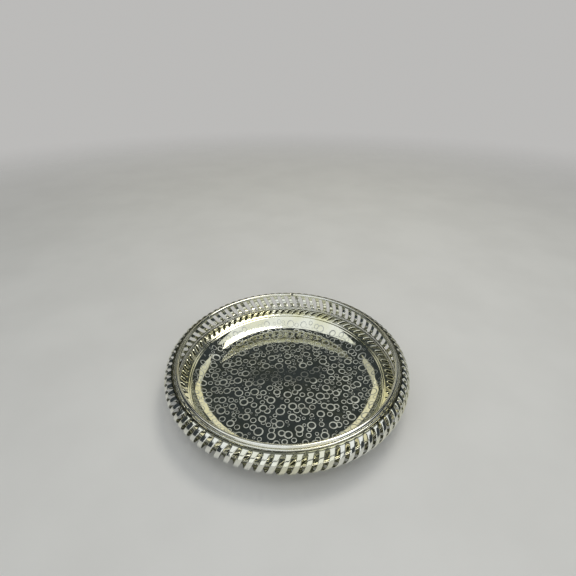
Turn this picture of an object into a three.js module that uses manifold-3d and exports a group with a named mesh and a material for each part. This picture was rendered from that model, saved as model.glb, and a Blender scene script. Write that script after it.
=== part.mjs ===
// A round gallery tray in polished brass: an etched dish, a slotted ledge round it, and a
// bulging pierced gallery that carries a rim of two wires. Millimetres, +Z up.
// The origin is the middle of the underside, on the surface that the tray stands on.
import * as THREE from "three";
import { mergeVertices } from "three/addons/utils/BufferGeometryUtils.js";
import Module from "manifold-3d";

// ---- driving dimensions ----
const gap = 0.3; // between pieces that meet, filled with solder on the real tray
const weld = 1e-4; // points nearer than this are one point
const barCount = 84;
const segments = barCount; // facets round the pierced rings and the wires
const dishSegments = 56;
const jointAzimuth = THREE.MathUtils.degToRad(86.5); // where strip and wires were closed to rings

const sheet = 1.2; // the dish
const floorRadius = 81;
const coveRadius = 30;
const coveAngle = THREE.MathUtils.degToRad(47);
const coveSteps = 6;
const flangeRadius = 106.4;

const ledgeAngle = THREE.MathUtils.degToRad(22);
const ledgeThickness = 0.9;
const ledgeInnerRadius = 103.9;
const ledgeOuterRadius = 114.2;
const slotInnerRadius = 108.2;
const slotOuterRadius = 112.8;
const ledgeSlotWidth = 3.4; // measured round the tray
const ledgeSlotLean = THREE.MathUtils.degToRad(37);
const ledgeSlotDepth = 0.5; // the slots are sunk in the ledge, and don't go through
const slotCutHeight = 4;

const bulge = { radius: 115.5, height: 27.85 }; // the middle of the gallery's round section
const bulgeOuter = 11.5;
const bandThickness = 1.4;
const barThickness = 1.0;
const barWidth = 5.0;
const barSteps = 5;
const barLean = THREE.MathUtils.degToRad(5.5); // how far round a bar runs from top to bottom
const shoulder = { from: THREE.MathUtils.degToRad(85.5), to: THREE.MathUtils.degToRad(73) };
const foot = { from: THREE.MathUtils.degToRad(-75), to: THREE.MathUtils.degToRad(-83) };
const barOverlap = THREE.MathUtils.degToRad(3);

const waistWire = { radius: 115.5, height: 16.3, thickness: 2.0, sides: 6 };
const innerRimWire = { radius: 112.5, height: 40.0, thickness: 3.8, sides: 6 };
const outerRimWire = { radius: 115.35, height: 39.15, thickness: 1.5, sides: 6 };
const jointGap = 0.4;
const wireCutReach = 12; // passes right across either rim wire
const bandCutDepth = 4; // passes right through the gallery's sheet

const jointBead = { width: 2, thickness: 0.7 }; // solder behind the gallery's joint
const rimJointBead = { radius: 114.25, height: 38.0, length: 5, thickness: 0.9, sides: 8 };
const fillet = { width: 1.1, depth: 0.9, setBack: 0.35 }; // solder under the ledge

const pitch = (2 * Math.PI) / barCount;
const bulgeMiddle = bulgeOuter - bandThickness / 2;
const coveTopRadius = floorRadius + coveRadius * Math.sin(coveAngle);
const coveTopHeight = sheet + coveRadius * (1 - Math.cos(coveAngle));

// Height of the flange's upper face, and of the line that the ledge follows, at a radius.
const flangeHeight = (radius) => coveTopHeight + (radius - coveTopRadius) * Math.tan(ledgeAngle);
const ledgeUnder = (radius) => flangeHeight(radius) + gap / Math.cos(ledgeAngle);
const ledgeTop = (radius) => ledgeUnder(radius) + ledgeThickness / Math.cos(ledgeAngle);

// ---- helpers ----
const wasm = await Module();
wasm.setup();

function toSolid(geometry) {
  const bare = geometry.index ? geometry.toNonIndexed() : geometry.clone();
  bare.deleteAttribute("normal");
  bare.deleteAttribute("uv");
  const merged = mergeVertices(bare, weld);
  const vertProperties = merged.attributes.position.array;
  const triVerts = new Uint32Array(merged.index.array);
  return new wasm.Manifold(new wasm.Mesh({ numProp: 3, vertProperties, triVerts }));
}

function toGeometry(solid) {
  const mesh = solid.getMesh();
  const geometry = new THREE.BufferGeometry();
  geometry.setAttribute("position", new THREE.BufferAttribute(mesh.vertProperties, mesh.numProp));
  geometry.setIndex(new THREE.BufferAttribute(mesh.triVerts, 1));
  return geometry;
}

// A closed outline of [radius, height] points turned round the Z axis.
function turned(outline, facets = segments) {
  const profile = outline.map(([radius, height]) => new THREE.Vector2(radius, height));
  if (outline[0][0] > 0) profile.push(profile[0].clone());
  return new THREE.LatheGeometry(profile, facets).rotateX(Math.PI / 2);
}

function wireRing({ radius, height, thickness, sides }) {
  const outline = [];
  for (let side = 0; side < sides; side += 1) {
    const turn = (2 * Math.PI * side) / sides;
    outline.push([
      radius + (thickness / 2) * Math.cos(turn),
      height + (thickness / 2) * Math.sin(turn),
    ]);
  }
  return turned(outline);
}

// The point of the bulge's round section at an angle above its widest place.
const onBulge = (angle, distance) => [
  bulge.radius + distance * Math.cos(angle),
  bulge.height + distance * Math.sin(angle),
];

function bulgeRing({ from, to }) {
  const inner = bulgeOuter - bandThickness;
  return turned([
    onBulge(to, inner),
    onBulge(to, bulgeOuter),
    onBulge(from, bulgeOuter),
    onBulge(from, inner),
  ]);
}

class BulgeArc extends THREE.Curve {
  constructor(from, to, distance) {
    super();
    Object.assign(this, { from, to, distance });
  }

  getPoint(share, target = new THREE.Vector3()) {
    const [radius, height] = onBulge(this.from + (this.to - this.from) * share, this.distance);
    return target.set(radius, 0, height);
  }
}

// A strip along the bulge's section, leaned round the tray as the gallery's bars are.
function leaningStrip({ from, to, distance, width, thickness }) {
  const section = new THREE.Shape();
  section.moveTo(-width / 2, -thickness / 2);
  section.lineTo(width / 2, -thickness / 2);
  section.lineTo(width / 2, thickness / 2);
  section.lineTo(-width / 2, thickness / 2);
  section.closePath();
  const extrudePath = new BulgeArc(from, to, distance);
  const strip = new THREE.ExtrudeGeometry(section, { steps: barSteps, extrudePath });
  const position = strip.attributes.position;
  const point = new THREE.Vector3();
  const axis = new THREE.Vector3(0, 0, 1);
  const fullDrop = shoulder.to - foot.from;
  for (let index = 0; index < position.count; index += 1) {
    point.fromBufferAttribute(position, index);
    const angle = Math.atan2(point.z - bulge.height, point.x - bulge.radius);
    point.applyAxisAngle(axis, (-barLean * (shoulder.to - angle)) / fullDrop);
    position.setXYZ(index, point.x, point.y, point.z);
  }
  return strip;
}

function joined(solids) {
  let left = solids;
  while (left.length > 1) {
    const pairs = [];
    for (let index = 0; index < left.length; index += 2) {
      pairs.push(index + 1 < left.length ? left[index].add(left[index + 1]) : left[index]);
    }
    left = pairs;
  }
  return left[0];
}

// A thin upright box that parts a ring of wire where its ends meet.
function jointCutter(radius) {
  const cutter = new THREE.BoxGeometry(wireCutReach, jointGap, wireCutReach);
  cutter.translate(radius, 0, innerRimWire.height);
  return toSolid(cutter.rotateZ(jointAzimuth));
}

// ---- pieces ----
function dish() {
  const outline = [[0, 0]];
  const outerSteps = coveSteps - 1;
  for (let step = 0; step <= outerSteps; step += 1) {
    const angle = (coveAngle * step) / coveSteps;
    outline.push([
      floorRadius + (coveRadius + sheet) * Math.sin(angle),
      (coveRadius + sheet) * (1 - Math.cos(angle)),
    ]);
  }
  outline.push([flangeRadius, flangeHeight(flangeRadius) - sheet / Math.cos(ledgeAngle)]);
  outline.push([flangeRadius, flangeHeight(flangeRadius)]);
  for (let step = coveSteps; step >= 0; step -= 1) {
    const angle = (coveAngle * step) / coveSteps;
    outline.push([
      floorRadius + coveRadius * Math.sin(angle),
      sheet + coveRadius * (1 - Math.cos(angle)),
    ]);
  }
  outline.push([0, sheet]);
  return toGeometry(toSolid(turned(outline, dishSegments)));
}

function ledgeRing() {
  const ring = toSolid(
    turned([
      [ledgeInnerRadius, ledgeUnder(ledgeInnerRadius)],
      [ledgeOuterRadius, ledgeUnder(ledgeOuterRadius)],
      [ledgeOuterRadius, ledgeTop(ledgeOuterRadius)],
      [ledgeInnerRadius, ledgeTop(ledgeInnerRadius)],
    ]),
  );
  const middle = (slotInnerRadius + slotOuterRadius) / 2;
  const reach = (slotOuterRadius - slotInnerRadius) / Math.cos(ledgeSlotLean);
  const slots = [];
  for (let bar = 0; bar < barCount; bar += 1) {
    const slot = new THREE.BoxGeometry(reach, ledgeSlotWidth * Math.cos(ledgeSlotLean), slotCutHeight);
    slot.rotateZ(-ledgeSlotLean);
    slot.translate(0, 0, slotCutHeight / 2 - ledgeSlotDepth);
    slot.rotateY(-ledgeAngle);
    slot.translate(middle, 0, ledgeTop(middle));
    slot.rotateZ(jointAzimuth + (bar + 0.5) * pitch);
    slots.push(toSolid(slot));
  }
  return toGeometry(ring.subtract(joined(slots)));
}

function galleryBand() {
  const bar = toSolid(
    leaningStrip({
      from: shoulder.to + barOverlap,
      to: foot.from - barOverlap,
      distance: bulgeMiddle,
      width: barWidth,
      thickness: barThickness,
    }),
  );
  const pieces = [toSolid(bulgeRing(shoulder)), toSolid(bulgeRing(foot))];
  for (let index = 0; index < barCount; index += 1) {
    pieces.push(bar.rotate([0, 0, THREE.MathUtils.radToDeg(jointAzimuth + index * pitch)]));
  }
  const cutter = leaningStrip({
    from: Math.PI / 2,
    to: -Math.PI / 2,
    distance: bulgeMiddle,
    width: jointGap,
    thickness: bandCutDepth,
  }).rotateZ(jointAzimuth);
  return toGeometry(joined(pieces).subtract(toSolid(cutter)));
}

// The line of solder run down the back of the bar where the strip's ends meet.
function galleryJointSolder() {
  const bead = leaningStrip({
    from: shoulder.to,
    to: foot.from,
    distance: bulgeOuter - bandThickness - gap - jointBead.thickness,
    width: jointBead.width,
    thickness: jointBead.thickness,
  });
  return toGeometry(toSolid(bead.rotateZ(jointAzimuth)));
}

function rimWire(wire) {
  return toGeometry(toSolid(wireRing(wire)).subtract(jointCutter(wire.radius)));
}

// Solder in the crevice below the two rim wires, across their joint.
function rimJointSolder() {
  const thick = rimJointBead.thickness / 2;
  const rod = new THREE.CylinderGeometry(thick, thick, rimJointBead.length, rimJointBead.sides);
  rod.translate(rimJointBead.radius, 0, rimJointBead.height);
  return toGeometry(toSolid(rod.rotateZ(jointAzimuth)));
}

// The fillet of solder under the ledge, round the edge of the dish's flange.
function ledgeSolder() {
  const from = flangeRadius + fillet.setBack;
  const to = from + fillet.width;
  const drop = gap / Math.cos(ledgeAngle);
  return turned([
    [from, ledgeUnder(from) - drop - fillet.depth],
    [to, ledgeUnder(to) - drop],
    [from, ledgeUnder(from) - drop],
  ]);
}

// ---- assembly ----
const tray = new THREE.Group();

function place(name, geometry, colour, roughness) {
  const material = new THREE.MeshStandardMaterial({ color: colour, metalness: 1, roughness });
  const mesh = new THREE.Mesh(geometry, material);
  mesh.name = name;
  tray.add(mesh);
}

const paleBrass = 0xcfc9a0;
const brightBrass = 0xe3dfc0;
const solderGrey = 0xb4b4a8;

place("dish", dish(), paleBrass, 0.15);
place("ledge_ring", ledgeRing(), paleBrass, 0.2);
place("waist_wire", wireRing(waistWire), brightBrass, 0.15);
place("gallery_band", galleryBand(), brightBrass, 0.2);
place("inner_rim_wire", rimWire(innerRimWire), brightBrass, 0.15);
place("outer_rim_wire", rimWire(outerRimWire), brightBrass, 0.15);
place("gallery_joint_solder", galleryJointSolder(), solderGrey, 0.4);
place("rim_joint_solder", rimJointSolder(), solderGrey, 0.4);
place("ledge_solder", ledgeSolder(), solderGrey, 0.4);

export default tray;
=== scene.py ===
import math
import random

import bpy
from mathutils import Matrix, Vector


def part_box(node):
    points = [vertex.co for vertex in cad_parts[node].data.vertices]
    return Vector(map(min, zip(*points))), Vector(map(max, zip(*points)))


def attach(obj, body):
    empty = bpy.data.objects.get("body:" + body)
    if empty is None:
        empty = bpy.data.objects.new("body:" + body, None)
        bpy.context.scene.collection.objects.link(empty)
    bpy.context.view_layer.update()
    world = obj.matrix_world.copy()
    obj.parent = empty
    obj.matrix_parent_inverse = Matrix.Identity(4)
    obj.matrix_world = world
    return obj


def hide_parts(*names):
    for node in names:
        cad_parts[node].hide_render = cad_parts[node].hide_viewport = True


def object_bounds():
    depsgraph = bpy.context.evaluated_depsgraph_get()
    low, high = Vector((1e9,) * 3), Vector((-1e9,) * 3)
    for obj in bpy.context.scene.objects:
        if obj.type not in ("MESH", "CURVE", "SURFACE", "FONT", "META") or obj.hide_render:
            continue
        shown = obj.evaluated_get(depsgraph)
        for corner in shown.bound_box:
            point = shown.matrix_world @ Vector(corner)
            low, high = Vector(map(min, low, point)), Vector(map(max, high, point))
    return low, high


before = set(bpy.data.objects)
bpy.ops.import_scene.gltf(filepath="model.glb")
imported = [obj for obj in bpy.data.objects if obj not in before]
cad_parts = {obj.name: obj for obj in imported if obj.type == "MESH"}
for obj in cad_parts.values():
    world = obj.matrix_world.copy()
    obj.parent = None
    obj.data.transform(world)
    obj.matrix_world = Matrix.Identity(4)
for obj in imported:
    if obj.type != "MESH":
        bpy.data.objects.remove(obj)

MM = 0.001
cad_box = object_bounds()


def outer_radius(node):
    low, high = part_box(node)
    return (high.x - low.x) / 2


# ---- driving sizes, from the frame and from the tray's own proportions ----
BARS = 84
PITCH = 2 * math.pi / BARS
JOINT = math.radians(86.5)      # where the strip and the rim wires are closed to rings
JOINT_GAP = 0.35 * MM

SHEET = 1.2 * MM
FLANGE_RADIUS = outer_radius("dish")
FLANGE_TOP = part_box("dish")[1].z
FLOOR_RADIUS = 81 * MM
FLOOR_STEPS = (20, 40, 60, 72, 79)      # radii in mm where the flat floor's mesh has a ring
COVE_RADIUS = 30 * MM
COVE_ANGLE = math.radians(47)
LEDGE_ANGLE = math.radians(22)

LEDGE_OUTER = outer_radius("ledge_ring")
LEDGE_INNER = 103.9 * MM
LEDGE_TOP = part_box("ledge_ring")[1].z
LEDGE_THICKNESS = 0.9 * MM

BULGE_ANGLES = (math.radians(85.5), math.radians(-83))
BULGE_OUTER = 11.5 * MM
BAND_THICKNESS = 1.3 * MM
BULGE_RADIUS = 115.5 * MM
BULGE_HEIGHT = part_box("gallery_band")[1].z - BULGE_OUTER * math.sin(BULGE_ANGLES[0])
BAR_WIDTH = 5.0 * MM
BAR_LEAN = math.radians(5.5)    # how far round a bar runs from top to bottom
BAR_ANGLES = (math.radians(74.5), math.radians(-76))    # where the gaps between bars start and end
BULGE_MIDDLE = BULGE_OUTER - BAND_THICKNESS / 2         # to the middle of the strip's thickness
BULGE_LENGTH = (BULGE_ANGLES[0] - BULGE_ANGLES[1]) * BULGE_MIDDLE

LEDGE_LENGTH = (LEDGE_OUTER - LEDGE_INNER) / math.cos(LEDGE_ANGLE)
LEDGE_LEAN = math.radians(1.98)     # how far round a slot leans over a run of 5 mm
LEDGE_SLOT_MIDDLE = 3.9 * MM        # from the ledge's outer edge
LEDGE_SLOT_WIDTH = 2.7 * MM
LEDGE_SLOT_LENGTH = 5.6 * MM
SLOT_FLOOR = (0.9 * MM, 6.9 * MM)   # from where to where the floors run under the slots
SLOT_FLOOR_LIFTS = (-0.41 * MM, -0.55 * MM)     # their faces, from the middle of the ledge's sheet

INNER_WIRE = 1.9 * MM               # half thicknesses of the wires
OUTER_WIRE = 0.75 * MM
WAIST_WIRE = 1.0 * MM
SHOULDER_REFLECTION_REACH = 118.9 * MM           # the gallery's shoulder carries a painted dark reflection inside this radius

DOTS = 5                            # the rank of the smallest etched marks, which are all but filled
DISH_STEPS = 288                    # mesh steps round the tray
WIRE_STEPS = 4 * BARS
FILLET_STEPS = 3 * BARS

SILVERY_BRASS = (0.86, 0.86, 0.74)
RUBBED_BRASS = (0.87, 0.875, 0.81)
WARM_BRASS = (0.81, 0.79, 0.53)
WARM_MIRROR = (0.78, 0.77, 0.58)
WARM_GALLERY = (0.80, 0.79, 0.62)
WARM_WIRE = (0.76, 0.74, 0.60)
# colour of oxide in hollows, and of painted shade and painted dark reflections on the brass
PATINA_AND_SHADE = (0.07, 0.075, 0.045)
# colour of the painted dark reflection across the etched rings
PAINTED_REFLECTION_TINT = (0.13, 0.14, 0.13)


# ---- mesh helpers ----
def mesh_object(name, vertices, faces, material, body="root"):
    mesh = bpy.data.meshes.new(name)
    mesh.from_pydata(vertices, [], faces)
    mesh.validate()
    mesh.polygons.foreach_set("use_smooth", [True] * len(mesh.polygons))
    mesh.materials.append(material)
    mesh.update()
    piece = bpy.data.objects.new(name, mesh)
    bpy.context.scene.collection.objects.link(piece)
    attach(piece, body)
    return piece


def polar(radius, azimuth, height):
    return (radius * math.cos(azimuth), radius * math.sin(azimuth), height)


def revolve(name, outline, segments, material):
    """Turns an outline of (radius, height) points, which starts and ends on the axis, into a solid."""
    vertices = [(0, 0, outline[0][1]), (0, 0, outline[-1][1])]
    ring_start = []
    for radius, height in outline[1:-1]:
        ring_start.append(len(vertices))
        vertices += [polar(radius, 2 * math.pi * step / segments, height) for step in range(segments)]
    faces = []
    for step in range(segments):
        after = (step + 1) % segments
        faces.append((0, ring_start[0] + after, ring_start[0] + step))
        faces.append((1, ring_start[-1] + step, ring_start[-1] + after))
        for low, high in zip(ring_start, ring_start[1:]):
            faces.append((low + step, low + after, high + after, high + step))
    return mesh_object(name, vertices, faces, material)


def swept_ring(name, section, start, end, segments, material):
    """Carries a closed section of (radius, height) points round the Z axis, closed on itself
    when it goes all the way, and with flat ends when it doesn't. section is a function of azimuth."""
    closed = abs(end - start - 2 * math.pi) < 1e-9
    stations = segments if closed else segments + 1
    vertices = []
    for station in range(stations):
        azimuth = start + (end - start) * station / segments
        points = section(azimuth)
        vertices += [polar(radius, azimuth, height) for radius, height in points]
    sides = len(points)
    faces = []
    for station in range(segments):
        here = station * sides
        there = ((station + 1) % stations) * sides
        for side in range(sides):
            other = (side + 1) % sides
            faces.append((here + side, there + side, there + other, here + other))
    if not closed:
        last = segments * sides
        faces.append(tuple(range(sides)))
        faces.append(tuple(last + side for side in reversed(range(sides))))
    return mesh_object(name, vertices, faces, material)


def round_section(radius, height, half_width, half_height, sides=20):
    turns = [2 * math.pi * side / sides for side in range(sides)]
    return [(radius + half_width * math.cos(t), height + half_height * math.sin(t)) for t in turns]


def arc_points(centre, radius, start, end, steps):
    points = []
    for step in range(steps + 1):
        angle = start + (end - start) * step / steps
        points.append((centre[0] + radius * math.cos(angle), centre[1] + radius * math.sin(angle)))
    return points


# ---- the dish ----
def cove_height(radius):
    """Height of the dish's upper face at a radius."""
    if radius <= FLOOR_RADIUS:
        return SHEET
    across = min(radius - FLOOR_RADIUS, COVE_RADIUS * math.sin(COVE_ANGLE))
    return SHEET + COVE_RADIUS - math.sqrt(COVE_RADIUS ** 2 - across ** 2)


def build_dish(material):
    """The outline runs out along the underside, round the flange's edge and back in on top."""
    down = -math.pi / 2
    cove_centre = (FLOOR_RADIUS, SHEET + COVE_RADIUS)
    outline = [(0, 0)] + [(step * MM, 0) for step in FLOOR_STEPS]
    outline += arc_points(cove_centre, COVE_RADIUS + SHEET, down, down + COVE_ANGLE * 0.9, 22)
    edge_middle = (FLANGE_RADIUS - SHEET * 0.45, FLANGE_TOP - SHEET * 0.58)
    outline += arc_points(edge_middle, SHEET * 0.5, LEDGE_ANGLE + down, LEDGE_ANGLE - down, 8)
    bend = (cove_centre[0] + COVE_RADIUS * math.sin(COVE_ANGLE),
            cove_centre[1] - COVE_RADIUS * math.cos(COVE_ANGLE))
    outline.append((bend[0] + 0.5 * MM, bend[1] + 0.5 * MM * math.tan(LEDGE_ANGLE)))
    outline += arc_points(cove_centre, COVE_RADIUS, down + COVE_ANGLE, down, 28)
    outline += [(step * MM, SHEET) for step in reversed(FLOOR_STEPS)] + [(0, SHEET)]
    piece = revolve("spun_dish", outline, DISH_STEPS, material)
    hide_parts("dish")


# ---- the etched rings ----
def scatter_rings(reach):
    """Seeded rings as (x, y, radius, rank). A ring of lower rank lies over one of higher rank."""
    rng = random.Random(41)
    rings = []

    def clear(x, y, radius, others, closeness):
        return all(math.hypot(x - o[0], y - o[1]) > (radius + o[2]) * closeness for o in others)

    def fill(smallest, largest, closeness, tries, rank):
        """Tries rings of smallest to largest mm, and keeps those that lie clear of all others."""
        for _ in range(tries):
            radius = rng.uniform(smallest, largest) * MM
            out = math.sqrt(rng.random()) * (reach - radius)
            turn = rng.uniform(0, 2 * math.pi)
            x, y = out * math.cos(turn), out * math.sin(turn)
            if clear(x, y, radius, rings, closeness):
                rings.append((x, y, radius, rank))

    fill(3.9, 5.0, 1.40, 1000, 0)
    for host in list(rings):
        for _ in range(rng.choice((1, 1, 1, 2))):
            radius = host[2] * rng.uniform(0.58, 0.84)
            turn = rng.uniform(0, 2 * math.pi)
            apart = (host[2] + radius) * rng.uniform(0.68, 0.86)
            x, y = host[0] + apart * math.cos(turn), host[1] + apart * math.sin(turn)
            others = [o for o in rings if o is not host]
            if math.hypot(x, y) + radius < reach and clear(x, y, radius, others, 0.9):
                rings.append((x, y, radius, 1))
    fill(2.7, 3.7, 1.04, 1600, 2)
    fill(1.8, 2.7, 1.02, 1600, 3)
    fill(1.0, 1.5, 1.15, 900, 4)
    fill(0.4, 0.7, 1.3, 260, DOTS)
    return rings


def ring_stations(ring, rings, rng):
    """The four corners of a ring's matt band at each step round it, or None under another ring."""
    x, y, radius, rank = ring
    dot = rank == DOTS
    steps = 12 if dot else max(24, int(radius / MM * 9))
    line = radius * (1.0 if dot else rng.uniform(0.26, 0.36))
    shift = 0 if dot else radius * rng.uniform(0.02, 0.10)
    shift_turn = rng.uniform(0, 2 * math.pi)
    proud = 0.035 * MM
    sunk = 0.02 * MM
    over = [o for o in rings if o[3] < rank and math.hypot(x - o[0], y - o[1]) < radius + o[2]]
    stations = []
    for step in range(steps):
        turn = 2 * math.pi * step / steps
        inner = max(radius - line + shift * math.cos(turn - shift_turn), 0.04 * radius)
        corners = []
        for share, lift in ((0, -sunk), (0.12, proud), (0.88, proud), (1, -sunk)):
            out = radius + (inner - radius) * share
            px, py = x + out * math.cos(turn), y + out * math.sin(turn)
            corners.append((px, py, cove_height(math.hypot(px, py)) + lift))
        middle = radius - line / 2
        mx, my = x + middle * math.cos(turn), y + middle * math.sin(turn)
        hidden = any(math.hypot(mx - o[0], my - o[1]) < o[2] * 0.86 for o in over)
        stations.append(None if hidden else corners)
    return stations


def add_band(stations, vertices, faces):
    """Adds a ring's band to the mesh, with a flat end wherever it is cut off."""
    steps = len(stations)
    base = {}
    for step, corners in enumerate(stations):
        if corners:
            base[step] = len(vertices)
            vertices.extend(corners)
    for step, a in base.items():
        b = base.get((step + 1) % steps)
        starts_here = (step - 1) % steps not in base
        if b is not None:
            for side in range(4):
                other = (side + 1) % 4
                faces.append((a + side, b + side, b + other, a + other))
            if starts_here:
                faces.append((a, a + 1, a + 2, a + 3))
        elif not starts_here:
            faces.append((a + 3, a + 2, a + 1, a))


def build_etching(material):
    """Thin matt bands that follow the dish's upper face, each cut off where a ring lies over it."""
    rng = random.Random(7)
    reach = FLOOR_RADIUS + COVE_RADIUS * math.sin(COVE_ANGLE) - 0.8 * MM
    rings = scatter_rings(reach)
    vertices = []
    faces = []
    for ring in rings:
        add_band(ring_stations(ring, rings, rng), vertices, faces)
    piece = mesh_object("etched_rings", vertices, faces, material)


# ---- pierced strips ----
class Slot:
    """A row of round-ended slots along a strip. Distances are along the strip's surface."""

    def __init__(self, middle, half_length, half_width):
        self.middle = middle
        self.half_length = half_length
        self.half_width = half_width        # a function of the distance along the strip

    def end_radius(self):
        return self.half_width(self.middle - self.half_length)

    def share(self, run):
        """0 along the straight part of a slot, and 1 at the tip of its round end."""
        excess = max(0, abs(run - self.middle) - self.half_length)
        return excess / self.end_radius()

    def edge(self, run):
        """Half the width of the hole at a distance along the strip, or 0 where there is none."""
        share = self.share(run)
        return self.half_width(run) * math.sqrt(1 - share * share) if share < 1 else 0.0

    def distance(self, across, run):
        """About how far a place lies from the edge of the hole."""
        width = self.half_width(run)
        return max(0.0, (math.hypot(across / width, self.share(run)) - 1) * width)


def strip_rows(slot, length, straight_rows):
    """Distances along the strip where its mesh has a row, closest at the slots' ends."""
    end = slot.end_radius()
    first = slot.middle - slot.half_length - end
    last = slot.middle + slot.half_length + end
    steps = [math.cos(math.pi / 2 * step / 5) for step in range(6)]
    rows = [0, first * 0.06, first * 0.18, first * 0.4, first * 0.72]
    rows += [first + end * (1 - cosine) for cosine in steps]
    straight = 2 * slot.half_length
    rows += [first + end + straight * step / straight_rows for step in range(1, straight_rows)]
    rows += [last - end * (1 - cosine) for cosine in reversed(steps)]
    rest = length - last
    rows += [last + rest * share for share in (0.28, 0.6, 0.82, 0.94, 1)]
    return rows


def rounded(distance, reach):
    """Rises from 0 to 1 over the reach, as a rounded edge does."""
    share = min(distance / reach, 1)
    return math.sqrt(max(0.0, 1 - (1 - share) ** 2))


class Strip:
    """A strip pierced with BARS slots and bent to a ring. surface(azimuth, run, lift) gives a point.
    shape holds the thickness on each side of the middle, how far in the edges are rounded, and
    whether the strip runs outwards from where it starts. A strip with a seam is open at the joint."""

    columns = 5

    def __init__(self, surface, radius_at, length, slot, shape, seam):
        self.surface = surface
        self.radius_at = radius_at
        self.length = length
        self.slot = slot
        self.shape = shape
        self.seam = seam
        self.vertices = []
        self.faces = []
        self.made = {}

    def point(self, azimuth, run, distance, key):
        """The outer and the inner vertex at a place. On the strip's edge they are the same one."""
        edge = min(run, self.length - run)
        distance = min(distance, edge) if edge < self.shape["edge"] else distance
        if key not in self.made:
            first = len(self.vertices)
            if distance < 1e-7:
                lifts = [0]
            else:
                lifts = [self.shape["outside"] * rounded(distance, self.shape["crown"]),
                         -self.shape["inside"] * rounded(distance, self.shape["edge"])]
            self.vertices += [self.surface(azimuth, run, lift) for lift in lifts]
            self.made[key] = (first, first + len(lifts) - 1)
        return self.made[key]

    def add_face(self, ids, flip):
        ids = tuple(dict.fromkeys(ids))
        if len(ids) > 2:
            self.faces.append(tuple(reversed(ids)) if flip else ids)

    def at_seam(self, bar):
        return self.seam and bar in (0, BARS)

    def half_grid(self, index, flip, rows, drift):
        """Rows of points, each from the middle of a bar to the edge of the slot beside it."""
        centre = JOINT + (index + 0.5) * PITCH
        way = 1 if flip else -1
        bar = index + 1 if flip else index
        gap = JOINT_GAP / 2 if self.at_seam(bar) else 0
        shares = [1 - math.sin(math.pi / 2 * column / self.columns) for column in range(self.columns + 1)]
        grid = []
        for row, run in enumerate(rows):
            half = PITCH / 2 * self.radius_at(run) - gap
            hole = self.slot.edge(run)
            line = []
            for column, from_edge in enumerate(shares):
                across = hole + (half - hole) * from_edge
                azimuth = centre + (way * across + drift * (1 - from_edge)) / self.radius_at(run)
                if column == self.columns and hole == 0:
                    key = (row, index, "middle")
                elif column == 0:
                    key = (row, bar if self.seam else bar % BARS, "bar")
                else:
                    key = (row, index, flip, column)
                line.append(self.point(azimuth, run, self.slot.distance(across, run), key))
            grid.append(line)
        return grid

    def add_half(self, index, flip, rows, drift):
        """Adds both faces of the strip on one side of a slot, and its end where the strip ends there."""
        grid = self.half_grid(index, flip, rows, drift)
        turned = flip == self.shape["run_is_outward"]
        for low, high in zip(grid, grid[1:]):
            for column in range(self.columns):
                corners = (low[column], high[column], high[column + 1], low[column + 1])
                self.add_face([outer for outer, inner in corners], turned)
                self.add_face([inner for outer, inner in reversed(corners)], turned)
        if self.at_seam(index + 1 if flip else index):
            for low, high in zip(grid, grid[1:]):
                self.add_face((low[0][0], low[0][1], high[0][1], high[0][0]), flip)


def pierced_strip(name, strip, straight_rows, material):
    rng = random.Random(len(name) * 13)
    rows = strip_rows(strip.slot, strip.length, straight_rows)
    wobble = [rng.uniform(-1, 1) for _ in range(BARS)]
    for index in range(BARS):
        for flip in (False, True):
            strip.add_half(index, flip, rows, wobble[index] * 0.1 * MM)
    return mesh_object(name, strip.vertices, strip.faces, material)


# ---- the gallery ----
def bulge_angle(run):
    return BULGE_ANGLES[0] - run / BULGE_MIDDLE


def bulge_reach(run):
    return BULGE_RADIUS + BULGE_MIDDLE * math.cos(bulge_angle(run))


def bulge_point(azimuth, run, lift):
    angle = bulge_angle(run)
    reach = BULGE_MIDDLE + lift
    lean = -BAR_LEAN * (run / BULGE_LENGTH - 0.1)
    radius = BULGE_RADIUS + reach * math.cos(angle)
    return polar(radius, azimuth + lean, BULGE_HEIGHT + reach * math.sin(angle))


def build_gallery(material):
    def half_width(run):
        return (PITCH * bulge_reach(run) - BAR_WIDTH) / 2

    top = (BULGE_ANGLES[0] - BAR_ANGLES[0]) * BULGE_MIDDLE
    bottom = (BULGE_ANGLES[0] - BAR_ANGLES[1]) * BULGE_MIDDLE
    end = half_width(top)
    slot = Slot((top + bottom) / 2, (bottom - top) / 2 - end, half_width)
    shape = {"outside": 0.62 * MM, "inside": 0.5 * MM, "crown": 0.9 * MM, "edge": 0.5 * MM,
             "run_is_outward": True}
    strip = Strip(bulge_point, bulge_reach, BULGE_LENGTH, slot, shape, True)
    piece = pierced_strip("pierced_gallery", strip, 12, material)
    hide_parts("gallery_band")


# ---- the ledge ----
def ledge_reach(run):
    return LEDGE_OUTER - run * math.cos(LEDGE_ANGLE)


def ledge_section(run, lift):
    """Radius and height of a point of the ledge's section."""
    height = LEDGE_TOP - LEDGE_THICKNESS / 2 - run * math.sin(LEDGE_ANGLE)
    return ledge_reach(run) - lift * math.sin(LEDGE_ANGLE), height + lift * math.cos(LEDGE_ANGLE)


def ledge_point(azimuth, run, lift):
    radius, height = ledge_section(run, lift)
    lean = LEDGE_LEAN * (run - 3.8 * MM) / (5 * MM)
    return polar(radius, azimuth + lean, height)


def build_ledge(material):
    def half_width(run):
        return LEDGE_SLOT_WIDTH / 2

    slot = Slot(LEDGE_SLOT_MIDDLE, (LEDGE_SLOT_LENGTH - LEDGE_SLOT_WIDTH) / 2, half_width)
    half = LEDGE_THICKNESS / 2
    shape = {"outside": half, "inside": half, "crown": 0.9 * MM, "edge": 0.4 * MM,
             "run_is_outward": False}
    strip = Strip(ledge_point, ledge_reach, LEDGE_LENGTH, slot, shape, False)
    piece = pierced_strip("pierced_ledge", strip, 4, material)
    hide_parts("ledge_ring")


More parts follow.
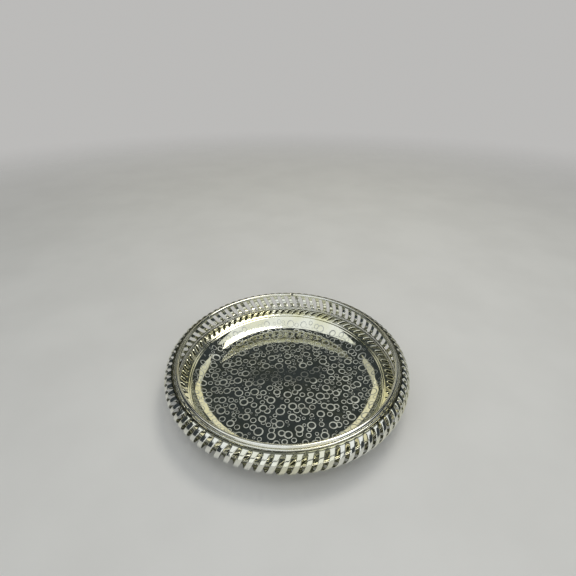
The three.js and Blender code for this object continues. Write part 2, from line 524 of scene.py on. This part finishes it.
def build_slot_floors(material):
    """The floors of the ledge's slots, dark with painted shade: one thin ring that closes them all from
    below.
    """
    outer, inner = SLOT_FLOOR
    upper, lower = SLOT_FLOOR_LIFTS
    corners = ((outer, upper), (inner, upper), (inner, lower), (outer, lower))

    def section(azimuth):
        return [ledge_section(run, lift) for run, lift in corners]

    piece = swept_ring("ledge_slot_floors", section, 0, 2 * math.pi, FILLET_STEPS, material)


# ---- wires and solder ----
def build_wire(name, node, thick, jointed, material):
    """A round wire of half thickness thick, on the middle line of its CAD ring."""
    low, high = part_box(node)
    radius = outer_radius(node) - thick
    height = (low.z + high.z) / 2

    def section(azimuth):
        return round_section(radius, height, thick, thick)

    start, end = 0, 2 * math.pi
    if jointed:
        start = JOINT + JOINT_GAP / 2 / radius
        end = JOINT + 2 * math.pi - JOINT_GAP / 2 / radius
    piece = swept_ring(name, section, start, end, WIRE_STEPS, material)
    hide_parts(node)


def build_wires(rim_material, waist_material):
    build_wire("rim_bead_inner", "inner_rim_wire", INNER_WIRE, True, rim_material)
    build_wire("rim_bead_outer", "outer_rim_wire", OUTER_WIRE, True, rim_material)
    build_wire("waist_ring", "waist_wire", WAIST_WIRE, False, waist_material)


def lumpy(seed, size):
    """A smooth wobble round a ring, as a function of azimuth."""
    rng = random.Random(seed)
    waves = [(rng.randint(3, 60), rng.uniform(0, 6.3), rng.uniform(0.3, 1)) for _ in range(12)]
    total = sum(wave[2] for wave in waves)
    return lambda turn: size * sum(w * math.sin(n * turn + p) for n, p, w in waves) / total


def build_ledge_solder(material):
    wobble = lumpy(3, 0.12 * MM)
    low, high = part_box("ledge_solder")
    radius = (high.x - low.x) / 2 - 0.62 * MM
    height = high.z - 0.62 * MM

    def section(azimuth):
        size = 0.42 * MM + wobble(azimuth)
        return round_section(radius, height, size * 1.15, size, 8)

    piece = swept_ring("ledge_fillet", section, 0, 2 * math.pi, FILLET_STEPS, material)
    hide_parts("ledge_solder")


def build_rim_solder(material):
    low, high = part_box("rim_joint_solder")
    radius = math.hypot((low.x + high.x) / 2, (low.y + high.y) / 2)
    height = (low.z + high.z) / 2
    half = 2.5 * MM / radius

    def section(azimuth):
        share = (azimuth - JOINT) / half
        size = 0.46 * MM * math.sqrt(max(0.02, 1 - share * share))
        return round_section(radius, height, size, size, 12)

    piece = swept_ring("rim_joint_fillet", section, JOINT - half, JOINT + half, 20, material)
    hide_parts("rim_joint_solder")


def build_gallery_solder(material):
    """A bead of solder run down the inside of the bar where the gallery's ends meet."""
    stations = 26
    sides = 10
    depth = BAND_THICKNESS / 2 + 0.65 * MM
    wobble = lumpy(9, 0.2 * MM)
    vertices = []
    for station in range(stations + 1):
        share = station / stations
        run = BULGE_LENGTH * (0.085 + 0.84 * share)
        size = math.sqrt(max(0.03, 1 - (2 * share - 1) ** 6))
        for side in range(sides):
            turn = 2 * math.pi * side / sides
            across = (0.9 * MM + wobble(share)) * size * math.cos(turn)
            lift = 0.32 * MM * size * math.sin(turn) - depth
            vertices.append(bulge_point(JOINT + across / bulge_reach(run), run, lift))
    faces = [tuple(reversed(range(sides))), tuple(stations * sides + s for s in range(sides))]
    for station in range(stations):
        here = station * sides
        there = here + sides
        for side in range(sides):
            other = (side + 1) % sides
            faces.append((here + other, there + other, there + side, here + side))
    piece = mesh_object("gallery_joint_bead", vertices, faces, material)
    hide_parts("gallery_joint_solder")


# ---- materials ----
class Nodes:
    """A small builder for a material's node tree, on object coordinates in metres."""

    def __init__(self, name):
        self.material = bpy.data.materials.new(name)
        self.material.use_nodes = True
        self.tree = self.material.node_tree
        self.shader = self.tree.nodes["Principled BSDF"]
        self.place = self.tree.nodes.new("ShaderNodeTexCoord").outputs["Object"]

    def link(self, output, socket):
        self.tree.links.new(output, socket)

    def noise(self, per_metre, detail=2.0, stretch=(1, 1, 1)):
        mapping = self.tree.nodes.new("ShaderNodeMapping")
        mapping.inputs["Scale"].default_value = [per_metre * s for s in stretch]
        self.link(self.place, mapping.inputs["Vector"])
        node = self.tree.nodes.new("ShaderNodeTexNoise")
        node.inputs["Scale"].default_value = 1.0
        node.inputs["Detail"].default_value = detail
        self.link(mapping.outputs["Vector"], node.inputs["Vector"])
        return node.outputs["Fac"]

    def spread(self, value, low, high, to_low, to_high):
        """Carries values from low to high smoothly over to values from to_low to to_high."""
        node = self.tree.nodes.new("ShaderNodeMapRange")
        node.interpolation_type = "SMOOTHSTEP"
        limits = {"From Min": low, "From Max": high, "To Min": to_low, "To Max": to_high}
        for name, number in limits.items():
            node.inputs[name].default_value = number
        self.link(value, node.inputs["Value"])
        return node.outputs["Result"]

    def math(self, operation, first, second):
        node = self.tree.nodes.new("ShaderNodeMath")
        node.operation = operation
        for socket, value in zip(node.inputs, (first, second)):
            if isinstance(value, (int, float)):
                socket.default_value = value
            else:
                self.link(value, socket)
        return node.outputs["Value"]

    def mix(self, factor, first, second):
        node = self.tree.nodes.new("ShaderNodeMix")
        node.data_type = "RGBA"
        self.link(factor, node.inputs["Factor"])
        for socket, value in ((node.inputs[6], first), (node.inputs[7], second)):
            if isinstance(value, tuple):
                socket.default_value = (*value, 1)
            else:
                self.link(value, socket)
        return node.outputs[2]

    def crevice(self, distance):
        """1 in the open, and less where other surfaces lie within the distance."""
        node = self.tree.nodes.new("ShaderNodeAmbientOcclusion")
        node.samples = 8
        node.inputs["Distance"].default_value = distance
        return node.outputs["AO"]

    def near(self, close, far):
        """1 close to the tray, and 0 from far onwards."""
        length = self.tree.nodes.new("ShaderNodeVectorMath")
        length.operation = "LENGTH"
        self.link(self.place, length.inputs[0])
        return self.spread(length.outputs["Value"], close, far, 1, 0)

    def split(self):
        """The X, Y and Z of a point of the tray."""
        node = self.tree.nodes.new("ShaderNodeSeparateXYZ")
        self.link(self.place, node.inputs["Vector"])
        return node.outputs["X"], node.outputs["Y"], node.outputs["Z"]

    def hypotenuse(self, first, second):
        squares = self.math("ADD", self.math("POWER", first, 2.0), self.math("POWER", second, 2.0))
        return self.math("SQRT", squares, 0.0)

    def painted_dark_reflection(self, middle, half_width, half_length):
        """Up to 0.85 in a soft uneven patch that lies across the tray, middle from its centre. It places
        a painted dark reflection.
        """
        x, y, _ = self.split()
        uneven = self.spread(self.noise(45, 3), 0.3, 0.7, -4 * MM, 4 * MM)
        along = self.math("ABSOLUTE", self.math("SUBTRACT", y, middle), 0.0)
        along = self.math("ADD", along, uneven)
        across = self.math("ABSOLUTE", x, 0.0)
        narrow = self.spread(along, half_width * 0.35, half_width, 0.85, 0)
        return self.math("MULTIPLY", narrow, self.spread(across, half_length * 0.6, half_length, 1, 0))

    def groove(self, radius):
        """0.9 inside a radius on the uppermost part of the tray, and 0 elsewhere. The gallery lays a
        painted dark reflection there.
        """
        x, y, z = self.split()
        inside = self.spread(self.hypotenuse(x, y), radius - 0.3 * MM, radius + 0.3 * MM, 0.9, 0)
        return self.math("MULTIPLY", inside, self.spread(z, 36 * MM, 37 * MM, 0, 1))

    def bulge_inner_shade(self, upper, lower):
        """Painted shade on the inner face of the gallery's bulge, upper in its upper half and lower in
        its lower half. It is 0 on the outer face, and fades out towards the back."""
        x, y, z = self.split()
        out = self.math("SUBTRACT", self.hypotenuse(x, y), BULGE_RADIUS)
        rise = self.math("SUBTRACT", z, BULGE_HEIGHT)
        from_middle = self.hypotenuse(out, rise)
        blend = 0.15 * MM
        inner = self.spread(from_middle, BULGE_MIDDLE - blend, BULGE_MIDDLE + blend, 1, 0)
        inner = self.math("MULTIPLY", inner, self.spread(rise, -4 * MM, 5 * MM, lower, upper))
        frontwards = self.math("ADD", self.math("MULTIPLY", x, -0.35), self.math("MULTIPLY", y, -0.94))
        return self.math("MULTIPLY", inner, self.spread(frontwards, 0, 50 * MM, 0, 1))

    def bump(self, height, depth, before=None):
        node = self.tree.nodes.new("ShaderNodeBump")
        node.inputs["Distance"].default_value = depth
        node.inputs["Strength"].default_value = 1.0
        self.link(height, node.inputs["Height"])
        if before is not None:
            self.link(before, node.inputs["Normal"])
        return node.outputs["Normal"]


def brass(name, clean, warm, gloss, bumps, patina_and_shade=0, shelter=(5 * MM, 0.06, 0.40), shade_patches=None):
    """Polished brass: uneven tint, wear in the gloss, slow dents and fine scratches.
    gloss is the roughness where it is clean and where it is worn, and bumps the depth of dents and
    of scratches. patina is how dark it gets where it is sheltered: partly the oxide that gathers in
    hollows, partly painted shade in crevices. shelter says what counts as sheltered: the reach, and
    how open it is where the dark is full and where it ends. tarnish gives more dark patches, of
    painted shade and painted dark reflection."""
    n = Nodes(name)
    n.shader.inputs["Metallic"].default_value = 1.0
    tint = n.mix(n.spread(n.noise(26, 3), 0.38, 0.66, 0, 1), clean, warm)
    if patina_and_shade > 0:
        # darker where other surfaces lie near: partly oxide in hollows, partly painted shade
        reach, closed, open_air = shelter
        tint = n.mix(n.spread(n.crevice(reach), closed, open_air, patina_and_shade, 0), tint, PATINA_AND_SHADE)
    if shade_patches:
        # dark patches of painted shade and painted dark reflection
        for patch in shade_patches(n):
            tint = n.mix(patch, tint, PATINA_AND_SHADE)
    n.link(tint, n.shader.inputs["Base Color"])
    wear = n.spread(n.noise(140, 4), 0.40, 0.72, 0, 1)
    fine = n.spread(n.noise(2600, 2), 0.45, 0.75, 0, 0.5)
    n.link(n.spread(n.math("MAXIMUM", wear, fine), 0, 1, *gloss), n.shader.inputs["Roughness"])
    dents, scratches = bumps
    slow = n.bump(n.noise(90, 1), dents)
    n.link(n.bump(n.noise(1500, 2, (1, 0.12, 1)), scratches, slow), n.shader.inputs["Normal"])
    return n.material


def gallery_painted_shade(n):
    """Painted dark reflection on the shoulder beside the rim's wires, and painted shade on the inside of
    the bulge.
    """
    return n.groove(SHOULDER_REFLECTION_REACH), n.bulge_inner_shade(0.60, 0.92)


def matt_metal(name, tints, coarse, rough, rough_limits, grain, depth, painted_dark_reflection=None):
    """Unpolished metal: a mottle of two tints, uneven roughness and a fine grain of some depth.
    coarse, rough and the first number of grain are spots per metre, for the three in turn."""
    n = Nodes(name)
    n.shader.inputs["Metallic"].default_value = 1.0
    tint = n.mix(n.spread(n.noise(coarse, 3), 0.35, 0.7, 0, 1), *tints)
    # a painted dark reflection, where one is given
    if painted_dark_reflection:
        tint = n.mix(n.painted_dark_reflection(*painted_dark_reflection), tint, PAINTED_REFLECTION_TINT)
    n.link(tint, n.shader.inputs["Base Color"])
    n.link(n.spread(n.noise(rough, 3), 0.3, 0.7, *rough_limits), n.shader.inputs["Roughness"])
    n.link(n.bump(n.noise(*grain), depth), n.shader.inputs["Normal"])
    return n.material


def frosted_etch():
    """The matt lines of the rings, darkened by a painted dark reflection across the middle of the tray.
    """
    painted_dark_reflection = (7 * MM, 17 * MM, 52 * MM)
    tints = ((0.60, 0.62, 0.58), (0.47, 0.48, 0.44))
    return matt_metal("frosted_etch", tints, coarse=60, rough=900, rough_limits=(0.40, 0.58),
                      grain=(5200, 2), depth=0.03 * MM, painted_dark_reflection=painted_dark_reflection)


def painted_shade_recess():
    """Brass coloured nearly black: painted shade in the ledge's slots."""
    tints = ((0.035, 0.04, 0.025), (0.09, 0.09, 0.05))
    return matt_metal("painted_shade_recess", tints, coarse=500, rough=1500, rough_limits=(0.35, 0.6),
                      grain=(2500, 2), depth=0.05 * MM)


def dull_solder():
    tints = ((0.55, 0.54, 0.49), (0.34, 0.33, 0.28))
    return matt_metal("dull_solder", tints, coarse=700, rough=1800, rough_limits=(0.32, 0.6),
                      grain=(1300, 3), depth=0.12 * MM)


def pale_floor():
    n = Nodes("pale_floor")
    tint = n.mix(n.spread(n.noise(9, 3), 0.3, 0.7, 0, 1), (0.80, 0.79, 0.77), (0.76, 0.75, 0.73))
    n.link(tint, n.shader.inputs["Base Color"])
    n.shader.inputs["Roughness"].default_value = 0.6
    n.link(n.bump(n.noise(800, 2), 0.05 * MM), n.shader.inputs["Normal"])
    n.link(n.near(0.55, 1.7), n.shader.inputs["Alpha"])
    return n.material


# ---- stage, light and camera ----
def build_floor():
    size = 30.0
    mesh = bpy.data.meshes.new("floor")
    corners = [(-size, -size, 0), (size, -size, 0), (size, size, 0), (-size, size, 0)]
    mesh.from_pydata(corners, [], [(0, 1, 2, 3)])
    mesh.materials.append(pale_floor())
    floor = bpy.data.objects.new("floor", mesh)
    floor.location.z = cad_box[0].z - 0.0001
    bpy.context.scene.collection.objects.link(floor)


def build_world():
    """A dim room. The camera sees a pale backdrop in its place, which the floor fades into."""
    world = bpy.data.worlds.new("studio")
    bpy.context.scene.world = world
    world.use_nodes = True
    tree = world.node_tree
    room = tree.nodes["Background"]
    room.inputs["Color"].default_value = (0.75, 0.9, 1.0, 1)
    room.inputs["Strength"].default_value = 0.045
    seen = tree.nodes.new("ShaderNodeBackground")
    seen.inputs["Color"].default_value = (0.50, 0.495, 0.485, 1)
    path = tree.nodes.new("ShaderNodeLightPath")
    choose = tree.nodes.new("ShaderNodeMixShader")
    tree.links.new(path.outputs["Is Camera Ray"], choose.inputs["Fac"])
    tree.links.new(room.outputs[0], choose.inputs[1])
    tree.links.new(seen.outputs[0], choose.inputs[2])
    tree.links.new(choose.outputs[0], tree.nodes["World Output"].inputs["Surface"])


def softbox(name, azimuth, elevation, distance, width, height, radiance, colour):
    """A soft rectangular light that faces the tray. Angles are in degrees, and radiance is how
    bright it shows in a mirror."""
    light = bpy.data.lights.new(name, "AREA")
    light.shape = "RECTANGLE"
    light.size = width
    light.size_y = height
    light.energy = radiance * math.pi * width * height
    light.color = colour
    lamp = bpy.data.objects.new(name, light)
    turn, lift = math.radians(azimuth), math.radians(elevation)
    lamp.location = (distance * math.cos(lift) * math.cos(turn),
                     distance * math.cos(lift) * math.sin(turn), distance * math.sin(lift))
    lamp.rotation_euler = (math.pi / 2 - lift, 0, turn + math.pi / 2)
    bpy.context.scene.collection.objects.link(lamp)


def build_camera():
    """Placed from the middle of the rim, in rim radii, as fitted to how the rim looks in the photo."""
    rim_radius = BULGE_RADIUS
    rim_height = 39.5 * MM
    back = 2.601
    up = 2.303
    tilt = math.radians(31.71)
    data = bpy.data.cameras.new("camera")
    data.sensor_fit = "HORIZONTAL"
    data.sensor_width = 36
    data.lens = 23.375
    data.shift_x = 0.002
    data.clip_start = 0.01
    camera = bpy.data.objects.new("camera", data)
    camera.location = (0, -back * rim_radius, rim_height + up * rim_radius)
    camera.rotation_euler = (math.pi / 2 - tilt, 0, 0)
    bpy.context.scene.collection.objects.link(camera)
    bpy.context.scene.camera = camera


# ---- the scene ----
build_camera()
build_floor()
build_world()
softbox("overhead", -90, 76, 1.5, 3.0, 2.0, 0.90, (0.96, 0.985, 1.0))
softbox("low_back", 90, 27.5, 1.6, 1.7, 0.46, 0.78, (1.0, 0.95, 0.72))
softbox("right_back", 57, 40, 1.6, 0.44, 0.50, 0.66, (1.0, 0.99, 0.86))
softbox("left_back", 123, 40, 1.6, 0.44, 0.50, 0.46, (1.0, 0.97, 0.76))
softbox("front_fill", -90, 18, 1.6, 2.6, 0.96, 0.95, (0.98, 1.0, 1.0))
softbox("key", 50, 68, 1.3, 0.42, 0.42, 6.0, (1.0, 0.97, 0.88))
bpy.context.scene.view_settings.view_transform = "Standard"

mirror_brass = brass("mirror_brass", SILVERY_BRASS, WARM_MIRROR, (0.05, 0.13), (0.12 * MM, 0.002 * MM))
# patina and shelter below set painted shade in crevices, partly standing for oxide in hollows
pierced_brass = brass("pierced_brass", SILVERY_BRASS, WARM_BRASS, (0.09, 0.18), (0.06 * MM, 0.005 * MM),
                      patina_and_shade=0.2)
gallery_brass = brass("gallery_brass", RUBBED_BRASS, WARM_GALLERY, (0.09, 0.20), (0.06 * MM, 0.005 * MM),
                      patina_and_shade=0.9, shelter=(14 * MM, 0.30, 0.72), shade_patches=gallery_painted_shade)
wire_brass = brass("wire_brass", RUBBED_BRASS, WARM_WIRE, (0.07, 0.15), (0.03 * MM, 0.004 * MM),
                   patina_and_shade=0.6)
# the waist ring is darkened over most of its face by painted shade
waist_brass = brass("waist_brass", RUBBED_BRASS, WARM_WIRE, (0.10, 0.22), (0.03 * MM, 0.004 * MM),
                    patina_and_shade=0.9, shelter=(16 * MM, 0.55, 0.95))
solder = dull_solder()

build_dish(mirror_brass)
build_etching(frosted_etch())
build_ledge(pierced_brass)
build_slot_floors(painted_shade_recess())
build_gallery(gallery_brass)
build_wires(wire_brass, waist_brass)
build_ledge_solder(solder)
build_rim_solder(solder)
build_gallery_solder(solder)
